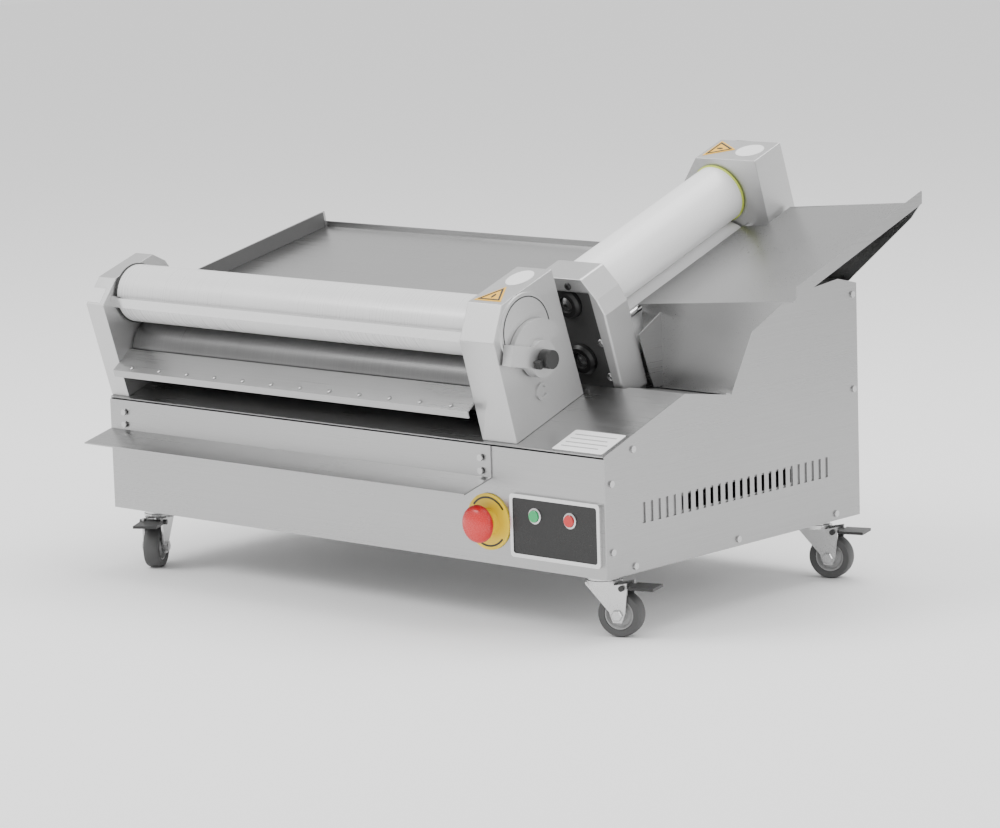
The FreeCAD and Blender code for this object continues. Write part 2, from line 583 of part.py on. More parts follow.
    # lever with its hub through the housing wall, and the lock knob in the hub
    lever_face = outer_x + " + 2" if far == 1 else outer_x + " - 14"
    knob_start = outer_x + " + 9" if far == 1 else outer_x + " - 25"
    arm = Part.makeBox(size("lever_reach") - 12, 22, 12, FreeCAD.Vector(12, -11, 0))
    fan = Part.makeCylinder(size("lever_reach") - 8, 6, FreeCAD.Vector(), FreeCAD.Vector(0, 0, 1), 130)
    fan.rotate(FreeCAD.Vector(), FreeCAD.Vector(0, 0, 1), -130)
    hub = Part.makeCylinder(20, 12)
    grip = arm.fuse([fan, hub]).removeSplitter()
    stand = FreeCAD.Placement(FreeCAD.Vector(size(lever_face), size("lever_y"), size("lever_up")),
                              FreeCAD.Rotation(FreeCAD.Vector(1, 1, 1), 120))
    stand.Rotation = stand.Rotation * FreeCAD.Rotation(FreeCAD.Vector(0, 0, 1), size("lever_rest"))
    if far == -1:
        grip = grip.mirror(FreeCAD.Vector(0, 0, 6), FreeCAD.Vector(0, 0, 1))
    lever_shape = fixed_shape(name + "_lever_shape", grip)
    lever_shape.Placement = stand
    pin_x = outer_x + " - 8" if far == 1 else outer_x + " - 4"
    pin = rod(name + "_lever_pin", "7", "12", (pin_x, "lever_y", "lever_up"))
    knob_bore = rod(name + "_knob_bore", "5 + running_gap", "40",
                    (outer_x + " - 3" if far == 1 else outer_x + " - 37", "lever_y", "lever_up"))
    node(name + "_lever", cut(name + "_lever_cut", join(name + "_lever_body", lever_shape, pin),
                              knob_bore), frame)
    knob_out = outer_x + " + 14.5" if far == 1 else outer_x + " - 26.5"
    stem_out = outer_x + " + 4" if far == 1 else outer_x + " - 18"
    node(name + "_lock_knob", join(
        name + "_knob_body",
        rod(name + "_knob_head", "10", "12", (knob_out, "lever_y", "lever_up")),
        box(name + "_knob_pointer", ("8", "14", "8"), (
            knob_out, "lever_y - 16", "lever_up - 4")),
        rod(name + "_knob_stem", "5", "14", (stem_out, "lever_y", "lever_up"))), frame)


belts, gearmotors, scraper_bars, guide_plates, guard_rods = [], [], [], [], []
roller_unit("front", "long_span", "idle_thick_long", "idle_top_long", 1, long_frame)
roller_unit("side", "short_span", "idle_thick_short", "idle_top_short", -1, short_frame)
for label, twins in (("drive_belts", belts), ("gearmotors", gearmotors),
                     ("scraper_bars", scraper_bars), ("guide_plates", guide_plates),
                     ("guard_rods", guard_rods)):
    node(label, group(label + "_pair", *twins))

# ---------------------------------------------------------------- casters
caster_spots = (("front_left", -1, 0, -78), ("front_right", 1, 0, 0), ("rear_left", -1, 1, 0),
                ("rear_right", 1, 1, 0))
plates = []
trail = "caster_trail"
for spot, side, back, turned in caster_spots:
    base = FreeCAD.Placement(
        FreeCAD.Vector(side * size(half + " - caster_inset"),
                       size("body_depth - caster_inset") if back else size("caster_inset"), 0),
        FreeCAD.Rotation(FreeCAD.Vector(0, 0, 1), size("caster_angle") + turned))
    mount = join(
        spot + "_mount",
        box(spot + "_plate", ("plate_side", "plate_side", "2.5"),
            ("0 - plate_side / 2", "0 - plate_side / 2", "caster_height - 2.5")),
        rod(spot + "_race", "17", "5", ("0", "0", "caster_height - 7.5"), "z"),
        rod(spot + "_kingpin", "5", "12", ("0", "0", "caster_height - 19.5"), "z"))
    straight = FreeCAD.Placement(base.Base, FreeCAD.Rotation())
    mount.Placement = straight
    plates.append(mount)
    crown = rod(spot + "_crown", "18", "4", ("0", "0", "caster_height - 12"), "z")
    cheeks = [prism(f"{spot}_cheek_{hand}", "XZ_Plane", (
        ("-15", "caster_height - 12"), ("17", "caster_height - 12"),
        (trail + " + 11", "wheel_radius + 34"), (trail + " + 11", "wheel_radius + 24"),
        (trail + " + 9", "wheel_radius + 3"), (trail + " + 5", "wheel_radius - 8"),
        (trail + " - 5", "wheel_radius - 8"), (trail + " - 9", "wheel_radius + 3")),
        "2.5", f"{hand} * ( wheel_width / 2 + 2.25 ) - 1.25")
        for hand in (-1, 1)]
    yoke = box(spot + "_yoke", ("32", "wheel_width + 7", "2.5"),
               ("-15", "0 - wheel_width / 2 - 3.5", "caster_height - 12.5"))
    axle = rod(spot + "_axle", "4", "wheel_width + 8",
               (trail, "0 - wheel_width / 2 - 4", "wheel_radius"), "y")
    fork = cut(spot + "_fork_cut", join(spot + "_fork_body", crown, yoke, axle, *cheeks),
               rod(spot + "_kingpin_bore", "5 + running_gap", "20",
                   ("0", "0", "caster_height - 22"), "z"),
               rod(spot + "_pedal_bore", "3 + running_gap", "60",
                   (trail + " + 6", "-30", "wheel_radius + 29"), "y"))
    node(spot + "_fork", fork, base)
    hub = cut(spot + "_hub_cut",
              rod(spot + "_hub_disc", "16", "wheel_width - 2",
                  (trail, "1 - wheel_width / 2", "wheel_radius"), "y"),
              rod(spot + "_hub_bore", "4 + running_gap", "wheel_width + 4",
                  (trail, "-2 - wheel_width / 2", "wheel_radius"), "y"))
    node(spot + "_hub", hub, base)
    tyre = cut(spot + "_tyre_cut",
               rod(spot + "_tyre_disc", "wheel_radius", "wheel_width",
                   (trail, "0 - wheel_width / 2", "wheel_radius"), "y"),
               rod(spot + "_tyre_bore", "16 + 0.02", "wheel_width + 4",
                   (trail, "-2 - wheel_width / 2", "wheel_radius"), "y"))
    node(spot + "_tyre", tyre, base)
    pedal = join(spot + "_pedal_body",
                 rod(spot + "_pedal_pin", "3", "wheel_width + 14",
                     (trail + " + 6", "0 - wheel_width / 2 - 7", "wheel_radius + 29"), "y"),
                 box(spot + "_pedal_neck", ("12", "wheel_width - 1", "3"),
                     (trail + " + 2", "0.5 - wheel_width / 2", "wheel_radius + 27.5")),
                 box(spot + "_pedal_tread", ("pedal_length - 12", "wheel_width + 10", "3"),
                     (trail + " + 13", "0 - wheel_width / 2 - 5", "wheel_radius + 27.5")))
    node(spot + "_pedal", pedal, base)
node("caster_plates", group("caster_plate_set", *plates))


# ---------------------------------------------------------------- screws
def screw_head(name, x, y, z, axis):
    """Low round head that stands on a face."""
    return rod(name, "3.6", "1.8", (x, y, z), axis)


heads = []
flap_face = "0 - 2 * sheet_metal - 1.8"
for number, (x, drop) in enumerate((("26 - " + half, 16), ("26 - " + half, 30),
                                    ("203", 16), ("203", 30))):
    heads.append(screw_head(f"flap_screw_{number}", x, flap_face, top + f" - {drop}", "y"))
side_spots = (("11", "166"), ("11", "95"), ("46", "75"), ("215", "75"), ("385", "75"),
              ("420", "208"), ("420", "312"), ("46", "197"))
for number, (y, z) in enumerate(side_spots):
    heads.append(screw_head(f"right_screw_{number}", half, y, z, "x"))
    heads.append(screw_head(f"left_screw_{number}", "0 - " + half + " - 1.8", y, z, "x"))
node("panel_screws", group("panel_screw_set", *heads))

doc.recompute()

# ---------------------------------------------------------------- origin under the box's middle
whole = FreeCAD.BoundBox()
for item in pieces.values():
    whole.add(item.Shape.BoundBox)
sheet.set("B" + str([a for a, _ in SIZES].index("origin_x") + 1), str(round(whole.Center.x, 6)))
sheet.set("B" + str([a for a, _ in SIZES].index("origin_y") + 1), str(round(whole.Center.y, 6)))
doc.recompute()
shift = FreeCAD.Placement(FreeCAD.Vector(-size("origin_x"), -size("origin_y"), 0),
                          FreeCAD.Rotation())
for item in pieces.values():
    item.Placement = shift.multiply(item.Placement)
doc.recompute()

# ---------------------------------------------------------------- checks and files
for item in doc.Objects:
    if "Invalid" in item.State or "Error" in item.State:
        raise RuntimeError(item.Name + " failed to build")
for label, item in pieces.items():
    if item.Shape.isNull() or not item.Shape.isValid() or not item.Shape.Solids:
        raise RuntimeError(label + " has no valid solid")

os.makedirs("parts", exist_ok=True)
for label, item in pieces.items():
    item.Shape.exportStep(os.path.join("parts", label + ".step"))
print(len(pieces), "pieces", whole)
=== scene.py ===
import bmesh
import bpy
import json
import math
from mathutils import Matrix, Vector


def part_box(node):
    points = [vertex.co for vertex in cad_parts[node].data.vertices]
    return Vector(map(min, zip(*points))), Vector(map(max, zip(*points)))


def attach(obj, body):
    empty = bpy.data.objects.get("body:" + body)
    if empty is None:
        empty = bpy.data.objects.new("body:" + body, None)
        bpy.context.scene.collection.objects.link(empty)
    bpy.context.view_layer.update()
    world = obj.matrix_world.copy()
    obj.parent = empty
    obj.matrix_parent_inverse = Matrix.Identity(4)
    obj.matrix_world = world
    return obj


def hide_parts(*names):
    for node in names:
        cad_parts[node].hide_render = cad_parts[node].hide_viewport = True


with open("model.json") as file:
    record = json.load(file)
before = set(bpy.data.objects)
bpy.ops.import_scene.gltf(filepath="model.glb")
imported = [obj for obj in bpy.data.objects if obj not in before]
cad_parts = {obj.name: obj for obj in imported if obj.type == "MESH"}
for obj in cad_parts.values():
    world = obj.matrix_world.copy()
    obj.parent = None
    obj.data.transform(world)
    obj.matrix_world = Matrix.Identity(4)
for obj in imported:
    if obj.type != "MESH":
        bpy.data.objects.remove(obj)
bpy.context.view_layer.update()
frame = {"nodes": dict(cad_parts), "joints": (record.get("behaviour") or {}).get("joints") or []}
nodes = frame["nodes"]
joints = {joint["name"]: joint for joint in frame["joints"]}

# ---------------------------------------------------------------- camera, floor and light
# A long lens looks down a little on the front right corner.  The machine stands on a
# plain pale floor under large soft lamps.
scene = bpy.context.scene
eye = bpy.data.cameras.new("camera")
eye.lens = 143.66
eye.sensor_width = 36
eye.clip_end = 50
camera = bpy.data.objects.new("camera", eye)
right = Vector((0.74195, 0.66975, -0.03057))
up = Vector((-0.08679, 0.14116, 0.98618))
back = Vector((0.66481, -0.72904, 0.16286))
panel_low, panel_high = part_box("front_panel")
stand = Vector(((panel_low.x + panel_high.x) / 2 + 2.982, panel_low.y - 3.018, 0.902))
camera.matrix_world = Matrix.Translation(stand) @ Matrix((right, up, back)).transposed().to_4x4()
scene.collection.objects.link(camera)
scene.camera = camera

floor_mesh = bpy.data.meshes.new("floor")
floor_mesh.from_pydata([(-9, -9, 0), (9, -9, 0), (9, 9, 0), (-9, 9, 0)], [], [(0, 1, 2, 3)])
floor = bpy.data.objects.new("floor", floor_mesh)
scene.collection.objects.link(floor)
floor_paint = bpy.data.materials.new("floor_paint")
floor_paint.use_nodes = True
floor_shader = floor_paint.node_tree.nodes["Principled BSDF"]
floor_shader.inputs["Base Color"].default_value = (0.96, 0.96, 0.96, 1)
floor_shader.inputs["Roughness"].default_value = 0.8
floor_mesh.materials.append(floor_paint)

world = bpy.data.worlds.new("studio")
scene.world = world
world.use_nodes = True
backdrop = world.node_tree.nodes["Background"]
backdrop.inputs["Color"].default_value = (1, 1, 1, 1)
backdrop.inputs["Strength"].default_value = 1.15


def softbox(name, place, aim, size, power):
    """Square area lamp that faces a point."""
    lamp = bpy.data.lights.new(name, "AREA")
    lamp.size = size
    lamp.energy = power
    holder = bpy.data.objects.new(name, lamp)
    holder.location = place
    holder.rotation_euler = (Vector(aim) - Vector(place)).to_track_quat("-Z", "Y").to_euler()
    scene.collection.objects.link(holder)


softbox("key_lamp", (-1.6, -2.2, 2.6), (0, 0, 0.2), 1.6, 70)
softbox("top_lamp", (0.3, 0.8, 3.0), (0, 0, 0.2), 2.2, 70)
softbox("side_lamp", (3.2, 0.4, 1.5), (0.2, 0, 0.2), 1.4, 26)

# ---------------------------------------------------------------- stainless sheet
# Body panels, deck, trays and guides are 1.5 mm stainless steel, brushed in one direction
# and folded.  Handling leaves faint cloudy marks over the grain.


def socket(group, name, kind, out=False, value=None):
    """Named input or output of a node group."""
    item = group.interface.new_socket(
        name=name, in_out="OUTPUT" if out else "INPUT", socket_type="NodeSocket" + kind)
    if value is not None:
        item.default_value = value


def maths(tree, operation, first, second):
    """Math node on two links or numbers."""
    node = tree.nodes.new("ShaderNodeMath")
    node.operation = operation
    for place, value in enumerate((first, second)):
        if isinstance(value, (int, float)):
            node.inputs[place].default_value = value
        else:
            tree.links.new(value, node.inputs[place])
    return node.outputs[0]


def noise(tree, where, scale, detail):
    """Noise over a vector."""
    node = tree.nodes.new("ShaderNodeTexNoise")
    node.inputs["Scale"].default_value = scale
    node.inputs["Detail"].default_value = detail
    tree.links.new(where, node.inputs["Vector"])
    return node.outputs["Fac"]


def surface_group(name, fine_scale, cloud_scale, cloud_share):
    """Two tones over a fine stretched grain and slow clouds; gives colour, roughness, normal."""
    group = bpy.data.node_groups.new(name, "ShaderNodeTree")
    socket(group, "Stretch", "Vector", value=(1, 1, 1))
    socket(group, "Dark Tone", "Color")
    socket(group, "Light Tone", "Color")
    socket(group, "Roughness", "Float", value=0.4)
    socket(group, "Depth", "Float", value=0.1)
    socket(group, "Color", "Color", out=True)
    socket(group, "Roughness", "Float", out=True)
    socket(group, "Normal", "Vector", out=True)
    given = group.nodes.new("NodeGroupInput")
    result = group.nodes.new("NodeGroupOutput")
    where = group.nodes.new("ShaderNodeTexCoord")
    stretch = group.nodes.new("ShaderNodeVectorMath")
    stretch.operation = "MULTIPLY"
    group.links.new(where.outputs["Object"], stretch.inputs[0])
    group.links.new(given.outputs["Stretch"], stretch.inputs[1])
    grain = noise(group, stretch.outputs[0], fine_scale, 3)
    cloud = noise(group, where.outputs["Object"], cloud_scale, 4)
    shade = maths(group, "ADD", maths(group, "MULTIPLY", grain, 1 - cloud_share),
                  maths(group, "MULTIPLY", cloud, cloud_share))
    tones = group.nodes.new("ShaderNodeMix")
    tones.data_type = "RGBA"
    group.links.new(shade, tones.inputs["Factor"])
    group.links.new(given.outputs["Dark Tone"], tones.inputs["A"])
    group.links.new(given.outputs["Light Tone"], tones.inputs["B"])
    group.links.new(tones.outputs["Result"], result.inputs["Color"])
    spread = maths(group, "MULTIPLY", maths(group, "SUBTRACT", shade, 0.5), 0.35)
    group.links.new(maths(group, "ADD", given.outputs["Roughness"], spread),
                    result.inputs["Roughness"])
    bump = group.nodes.new("ShaderNodeBump")
    bump.inputs["Distance"].default_value = 0.0004
    group.links.new(given.outputs["Depth"], bump.inputs["Strength"])
    group.links.new(grain, bump.inputs["Height"])
    group.links.new(bump.outputs["Normal"], result.inputs["Normal"])
    return group


brushed_grain = surface_group("Brushed grain", 1, 7, 0.4)


def tone(value):
    """Grey from one number, or a colour from three."""
    return (value, value, value, 1) if isinstance(value, (int, float)) else (*value, 1)


def material(name, group, dark, light, rough, metal, depth=0.1, stretch=(1, 1, 1), coat=0.0):
    """Principled material fed by one of the surface groups."""
    made = bpy.data.materials.new(name)
    made.use_nodes = True
    tree = made.node_tree
    shader = tree.nodes["Principled BSDF"]
    shader.inputs["Metallic"].default_value = metal
    shader.inputs["Coat Weight"].default_value = coat
    surface = tree.nodes.new("ShaderNodeGroup")
    surface.node_tree = group
    surface.inputs["Stretch"].default_value = stretch
    surface.inputs["Dark Tone"].default_value = tone(dark)
    surface.inputs["Light Tone"].default_value = tone(light)
    surface.inputs["Roughness"].default_value = rough
    surface.inputs["Depth"].default_value = depth
    tree.links.new(surface.outputs["Color"], shader.inputs["Base Color"])
    tree.links.new(surface.outputs["Roughness"], shader.inputs["Roughness"])
    tree.links.new(surface.outputs["Normal"], shader.inputs["Normal"])
    return made


def finish(made, *names):
    """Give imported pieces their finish."""
    for name in names:
        for place in nodes[name].material_slots:
            place.material = made


steel_across = material("steel_across", brushed_grain, 0.34, 0.47, 0.31, 1.0, 0.08, (6, 900, 900))
steel_deep = material("steel_deep", brushed_grain, 0.31, 0.43, 0.31, 1.0, 0.08, (900, 6, 900))
finish(steel_across, "front_panel", "deck_plate", "rear_cover", "slide_tray", "outfeed_flap",
       "chassis", "guide_plates")
finish(steel_deep, "right_side_panel", "left_side_panel", "infeed_tray")

# ---------------------------------------------------------------- cast housings and levers
# The ends of both roller units are aluminium castings, bead blasted and lacquered, with
# rounded edges.  The levers are small castings of the same metal.
cast_grain = surface_group("Cast grain", 900, 14, 0.45)
cast_metal = material("cast_metal", cast_grain, 0.46, 0.62, 0.4, 0.85, 0.25)


def round_edges(name, width, steps=3):
    """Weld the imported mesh's seams and round its sharp edges."""
    weld = nodes[name].modifiers.new("weld", "WELD")
    weld.merge_threshold = 0.00001
    bevel = nodes[name].modifiers.new("round", "BEVEL")
    bevel.width = width
    bevel.segments = steps
    bevel.limit_method = "ANGLE"
    bevel.angle_limit = math.radians(35)
    bevel.harden_normals = True


for unit in ("front", "side"):
    finish(cast_metal, unit + "_drive_housing", unit + "_idle_housing", unit + "_lever")
    round_edges(unit + "_drive_housing", 0.0022)
    round_edges(unit + "_idle_housing", 0.0022)
    round_edges(unit + "_lever", 0.0016)

# ---------------------------------------------------------------- rollers, shafts and rods
# Rollers are turned from white food-grade plastic; the front upper one has greyed with use
# and the front lower one is dark metal, darkened further with painted shade for the shadow it
# sits in.  Shafts, guard rods and scraper bars are ground steel.
turned_grain = surface_group("Turned grain", 1, 9, 0.5)
white_roller = material("white_roller", turned_grain, 0.83, 0.9, 0.33, 0.0, 0.03,
                        (1, 600, 1), 0.15)
grey_roller = material("grey_roller", turned_grain, 0.66, 0.76, 0.3, 0.1, 0.015,
                       (600, 1, 1), 0.2)
ground_steel = material("ground_steel", turned_grain, 0.6, 0.72, 0.22, 1.0, 0.03,
                        (500, 500, 2))
# Dark metal tone, deepened as painted shade for the lower roller's shadowed place.
dark_roller_with_painted_shade = material("dark_roller_with_painted_shade", turned_grain, 0.12, 0.2, 0.34, 0.9, 0.03, (600, 1, 1))
finish(grey_roller, "front_upper_roller")
finish(dark_roller_with_painted_shade, "front_lower_roller")
finish(white_roller, "side_upper_roller", "side_lower_roller")
finish(ground_steel, "guard_rods", "scraper_bars", "front_carriages", "side_carriages",
       "front_upper_shaft", "front_lower_shaft", "side_upper_shaft", "side_lower_shaft",
       "front_motor_pulley", "side_motor_pulley", "estop_stem")

# ---------------------------------------------------------------- roller end seals
# A soft lip seal closes the gap between each upper roller and its housings.  The far seal
# of the short roller is yellow-green, the others are dark.
green_seal = material("green_seal", cast_grain, (0.5, 0.6, 0.06), (0.62, 0.72, 0.12), 0.5, 0.0)
black_rubber = material("black_rubber", cast_grain, 0.02, 0.035, 0.6, 0.0)


def unit_place(unit):
    """Axes of a roller unit: x along the lower roller, z towards the upper one."""
    low = Vector(joints[unit + "_lower_spin"]["pos_m"])
    along = Vector(joints[unit + "_lower_spin"]["axis"]).normalized()
    high = Vector(joints[unit + "_upper_spin"]["pos_m"])
    rise = (high - low).normalized()
    depth = rise.cross(along)
    return Matrix.Translation(low) @ Matrix((along, depth, rise)).transposed().to_4x4()


def piece(name, mesh, place, made, body="root", smooth=True):
    """Link a finished mesh as a piece on a body."""
    data = bpy.data.meshes.new(name)
    bmesh.ops.recalc_face_normals(mesh, faces=mesh.faces)
    mesh.to_mesh(data)
    mesh.free()
    data.materials.append(made)
    if smooth:
        data.polygons.foreach_set("use_smooth", [True] * len(data.polygons))
        data.set_sharp_from_angle(angle=math.radians(38))
    item = bpy.data.objects.new(name, data)
    item.matrix_world = place
    scene.collection.objects.link(item)
    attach(item, body)
    return item


def lathe(profile, steps=40):
    """Closed solid turned about z from (radius, height) points."""
    mesh = bmesh.new()
    rings = []
    for radius, height in profile:
        if radius == 0:
            rings.append([mesh.verts.new((0, 0, height))])
            continue
        turns = [2 * math.pi * step / steps for step in range(steps)]
        rings.append([mesh.verts.new((radius * math.cos(a), radius * math.sin(a), height))
                      for a in turns])
    for low, high in zip(rings, rings[1:]):
        for step in range(steps):
            after = (step + 1) % steps
            corners = [low[step % len(low)], low[after % len(low)],
                       high[after % len(high)], high[step % len(high)]]
            kept = list(dict.fromkeys(corners))
            if len(kept) > 2:
                mesh.faces.new(kept)
    return mesh


def facing(x, y, z, normal):
    """Place at a point with z along a normal."""
    turn = Vector(normal).to_track_quat("Z", "Y").to_matrix().to_4x4()
    return Matrix.Translation((x, y, z)) @ turn


units = {unit: unit_place(unit) for unit in ("front", "side")}
axis_gap = (Vector(joints["front_upper_spin"]["pos_m"])
            - Vector(joints["front_lower_spin"]["pos_m"])).length


def reach(unit, name):
    """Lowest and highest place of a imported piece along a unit's rollers."""
    into_unit = units[unit].inverted()
    along = [(into_unit @ corner.co).x for corner in nodes[name].data.vertices]
    return min(along), max(along)


def inner_face(unit, name):
    """Place of a housing's face towards the rollers, along the unit."""
    return min(reach(unit, name), key=abs)

seal_profile = ((0.024, -0.0018), (0.0322, -0.0018), (0.0338, -0.0006), (0.0338, 0.0006),
                (0.0322, 0.0018), (0.024, 0.0018), (0.024, -0.0018))
seal_sink = 0.0001
for unit, place in units.items():
    roller_end = reach(unit, unit + "_upper_roller")[1]
    for hand in (-1, 1):
        coloured = unit == "side" and hand == -1
        piece(f"{unit}_seal_{'far' if hand < 0 else 'near'}", lathe(seal_profile, 64),
              place @ facing(hand * (roller_end - seal_sink), 0, axis_gap, (1, 0, 0)),
              green_seal if coloured else black_rubber, unit + "_upper")

# ---------------------------------------------------------------- screws
# Pan-head screws with a socket hold the sheet panels and the guide plates.  Their heads
# are bright steel; those on the short unit's scraper are black.
black_steel = material("black_steel", cast_grain, 0.02, 0.05, 0.4, 0.6)
bright_screw = material("bright_screw", cast_grain, 0.45, 0.6, 0.3, 1.0)
finish(bright_screw, "panel_screws")


def screw(name, place, radius, made=bright_screw):
    """Domed head with a blind round socket."""
    tall = radius * 0.55
    dome = ((0, 0), (radius, 0), (radius, tall * 0.4), (radius * 0.8, tall * 0.85),
            (radius * 0.5, tall), (radius * 0.42, tall * 0.5), (0, tall * 0.45))
    piece(name, lathe(dome, 20), place, made)


guide_count = 12
guide_pitch = 0.0445
guide_normal = (0, -0.312, 0.95)
for number in range(guide_count):
    across = (number - (guide_count - 1) / 2) * guide_pitch
    screw(f"guide_screw_{number}",
          units["front"] @ facing(across, -0.0612, 0.0029, guide_normal), 0.0026)
scraper_count = 7
scraper_pitch = 0.036
for number in range(scraper_count):
    across = (number - (scraper_count - 1) / 2) * scraper_pitch
    screw(f"scraper_screw_{number}",
          units["side"] @ facing(across, -0.0391, axis_gap + 0.007, (0, -1, 0)),
          0.0024, black_steel)

# ---------------------------------------------------------------- marks on the castings
# Each drive housing has a yellow triangle plate and a white oval plate on its flat top.
# The front one also has a curved scale line round the upper shaft.
sign_yellow = material("sign_yellow", cast_grain, (0.8, 0.42, 0.02), (0.9, 0.52, 0.04), 0.35, 0.0,
                       0.02)
sign_black = material("sign_black", cast_grain, 0.01, 0.02, 0.4, 0.0, 0.02)
sign_white = material("sign_white", cast_grain, 0.8, 0.88, 0.35, 0.0, 0.02)


def flat_plate(points, thickness, hole=None):
    """Thin plate from its outline, with an inner outline left open if given."""
    mesh = bmesh.new()
    outer = [mesh.verts.new((x, y, 0)) for x, y in points]
    if hole:
        inner = [mesh.verts.new((x, y, 0)) for x, y in hole]
        count = len(outer)
        faces = [mesh.faces.new((outer[i], outer[(i + 1) % count],
                                 inner[(i + 1) % count], inner[i])) for i in range(count)]
    else:
        faces = [mesh.faces.new(outer)]
    raised = bmesh.ops.extrude_face_region(mesh, geom=faces)["geom"]
    lifted = [v for v in raised if isinstance(v, bmesh.types.BMVert)]
    bmesh.ops.translate(mesh, vec=(0, 0, thickness), verts=lifted)
    return mesh


def oval(wide, tall, steps=36, start=0.0, sweep=2 * math.pi):
    """Points of an ellipse or a part of it."""
    return [(wide * math.cos(start + sweep * i / steps), tall * math.sin(start + sweep * i / steps))
            for i in range(steps)]


def triangle(size):
    """Equal-sided triangle about its middle."""
    return [(size * math.cos(a), size * math.sin(a))
            for a in (math.pi / 2, math.pi * 7 / 6, math.pi * 11 / 6)]


flat_top = 0.107
housing_wide = 0.048
sign_thick = 0.0004
for unit, place in units.items():
    inner = inner_face(unit, unit + "_drive_housing")
    drive_middle = inner + math.copysign(housing_wide / 2, inner)
    sticker = place @ Matrix.Translation((drive_middle - 0.001, -0.0065, flat_top))
    piece(unit + "_sign_plate", flat_plate(triangle(0.0215), sign_thick), sticker, sign_yellow,
          smooth=False)
    lifted = sticker @ Matrix.Translation((0, 0, sign_thick))
    piece(unit + "_sign_border", flat_plate(triangle(0.0175), 0.0003, triangle(0.0135)), lifted,
          sign_black, smooth=False)
    piece(unit + "_sign_bar", flat_plate(oval(0.0016, 0.0042, 16), 0.0003), lifted, sign_black,
          smooth=False)
    piece(unit + "_top_plate", flat_plate(oval(0.0145, 0.017), 0.0005),
          place @ Matrix.Translation((drive_middle, 0.036, flat_top)), sign_white,
          smooth=False)


def arc_strip(outer, inner, thickness):
    """Open strip between two arcs."""
    mesh = bmesh.new()
    low = [[mesh.verts.new((x, y, 0)) for x, y in row] for row in (outer, inner)]
    faces = [mesh.faces.new((low[0][i], low[0][i + 1], low[1][i + 1], low[1][i]))
             for i in range(len(outer) - 1)]
    raised = bmesh.ops.extrude_face_region(mesh, geom=faces)["geom"]
    bmesh.ops.translate(mesh, vec=(0, 0, thickness),
                        verts=[v for v in raised if isinstance(v, bmesh.types.BMVert)])
    return mesh


def ring_part(outer, inner, steps, start, sweep):
    """Outlines of a part of a flat ring, outer arc and inner arc."""
    return oval(outer, outer, steps, start, sweep), oval(inner, inner, steps, start, sweep)


# a plate turned this way has its x along the depth, its y upwards and its thickness outwards
face_turn = Matrix(((0, 0, 1), (1, 0, 0), (0, 1, 0))).to_4x4()
drive_face = inner_face("front", "front_drive_housing") + housing_wide
scale_arcs = ring_part(0.0362, 0.035, 60, math.radians(-65), math.radians(250))
piece("scale_line", arc_strip(*scale_arcs, 0.0003),
      units["front"] @ Matrix.Translation((drive_face + 0.0015, 0, axis_gap)) @ face_turn,
      sign_black, smooth=False)
piece("stop_boss", arc_strip(*ring_part(0.0095, 0.006, 30, 0.5, 5.2), 0.003),
      units["front"] @ Matrix.Translation((drive_face, -0.002, -0.004)) @ face_turn,
      cast_metal)

# ---------------------------------------------------------------- lock knobs
# A black moulded knob with a pointer sits in each lever.  The cable gland at the rear is of
# the same black plastic.
black_plastic = material("black_plastic", cast_grain, 0.012, 0.025, 0.38, 0.0, 0.12)
finish(black_plastic, "front_lock_knob", "side_lock_knob", "cable_gland")
for unit in units:
    round_edges(unit + "_lock_knob", 0.0012)

# ---------------------------------------------------------------- open end of the short unit
# The near housing of the short unit is open to the front.  A dark grey liner backs its pocket,
# its darkness painted shade for the shadowed recess; a flanged bearing carries each shaft, and five
# bolts hold the bearings.
# The dark tone of this liner is painted shade for the recess.
pocket_painted_shade = material("pocket_painted_shade", cast_grain, 0.12, 0.2, 0.45, 0.7, 0.2)
open_housing_wide = 0.04
outer_face = inner_face("side", "side_idle_housing") + open_housing_wide
pocket_depth = 0.016
liner_thick = 0.002
cover_face = outer_face - pocket_depth
cover_turn = units["side"] @ Matrix.Translation(
    (cover_face - liner_thick, -0.001, 0.0235)) @ face_turn
liner = [(-0.0473, -0.0615), (0.0473, -0.0615), (0.0473, 0.0635), (-0.0473, 0.0635)]
piece("side_pocket_cover", flat_plate(liner, liner_thick), cover_turn, pocket_painted_shade,
      smooth=False)
bearing_ring = ((0.0075, 0.0005), (0.0175, 0.0005), (0.0175, 0.005), (0.0145, 0.008),
                (0.0095, 0.008), (0.0085, 0.004), (0.0075, 0.004), (0.0075, 0.0005))
bearing_ball = ((0, 0.0005), (0.0072, 0.0005), (0.0072, 0.0045), (0.003, 0.006), (0, 0.006))
for row, height in (("lower", 0.0), ("upper", axis_gap)):
    seat = units["side"] @ facing(cover_face, 0, height, (1, 0, 0))
    piece(f"side_bearing_{row}", lathe(bearing_ring, 40), seat, black_steel)
    piece(f"side_bearing_cap_{row}", lathe(bearing_ball, 32), seat, ground_steel)
pocket_bolts = ((-0.036, 0.012), (-0.036, 0.052), (0.03, 0.02), (0.03, -0.02), (-0.036, -0.022))
for number, (y, z) in enumerate(pocket_bolts):
    screw(f"side_pocket_bolt_{number}", units["side"] @ facing(cover_face, y, z, (1, 0, 0)),
          0.0045)
screw("side_cap_screw", units["side"] @ facing(outer_face, 0.02, 0.094, (1, 0, 0)), 0.0042,
      black_steel)
